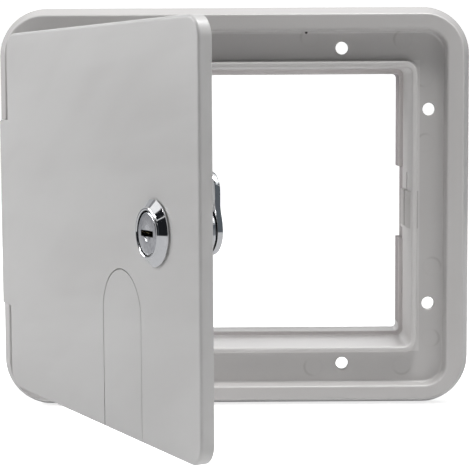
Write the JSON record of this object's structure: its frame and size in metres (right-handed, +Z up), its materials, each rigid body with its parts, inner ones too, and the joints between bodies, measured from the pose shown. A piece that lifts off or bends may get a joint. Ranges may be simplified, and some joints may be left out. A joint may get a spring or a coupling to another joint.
{
  "type": "rv power cord hatch",
  "caption": "Square recessed plastic access hatch for a caravan's power cord, with a hinged flush door, a cord flap and a chromed cam lock.",
  "frame": {"origin": "on the back of the recess floor that meets the vehicle's wall, in the middle of the floor's lower strip", "axes": "+X to the right along the hatch's width as seen from outside, +Y into the wall, +Z up. The door stands open at about 62 degrees at rest."},
  "size_m": [0.1784, 0.1871, 0.1512],
  "materials": {
    "plastic": "off-white, slightly glossy moulding",
    "chrome": "bright chromed zinc casting",
    "zinc": "zinc plated",
    "steel": "plain drawn steel pin",
    "brass": "stamped brass"
  },
  "bodies": {
    "frame_body": {"frame": "plastic", "hinge_pin": "steel"},
    "door_body": {"door": "plastic", "flap_pin": "steel", "lock_housing": "chrome", "lock_washer": "zinc", "lock_nut": "zinc"},
    "flap_body": {"cord_flap": "plastic"},
    "lock_body": {"lock_plug": "chrome", "wafer_1": "brass", "wafer_2": "brass", "wafer_3": "brass", "wafer_4": "brass", "stop_plate": "zinc", "lock_cam": "chrome", "cam_washer": "zinc", "cam_screw": "zinc"}
  },
  "joints": [
    {"name": "door_hinge", "type": "hinge", "parent": "frame_body", "child": "door_body", "pos_m": [-0.0854, -0.0044, 0.0626], "axis": [0, 0, -1], "range_deg": [-61.7, 108.3]},
    {"name": "flap_swing", "type": "hinge", "parent": "door_body", "child": "flap_body", "pos_m": [-0.03476, -0.10161, 0.0356], "axis": [-0.4741, 0.8805, 0], "range_deg": [0, 75]},
    {"name": "lock_turn", "type": "hinge", "parent": "door_body", "child": "lock_body", "pos_m": [-0.02487, -0.12525, 0.0636], "axis": [0.8805, 0.4741, 0], "range_deg": [0, 90]}
  ]
}
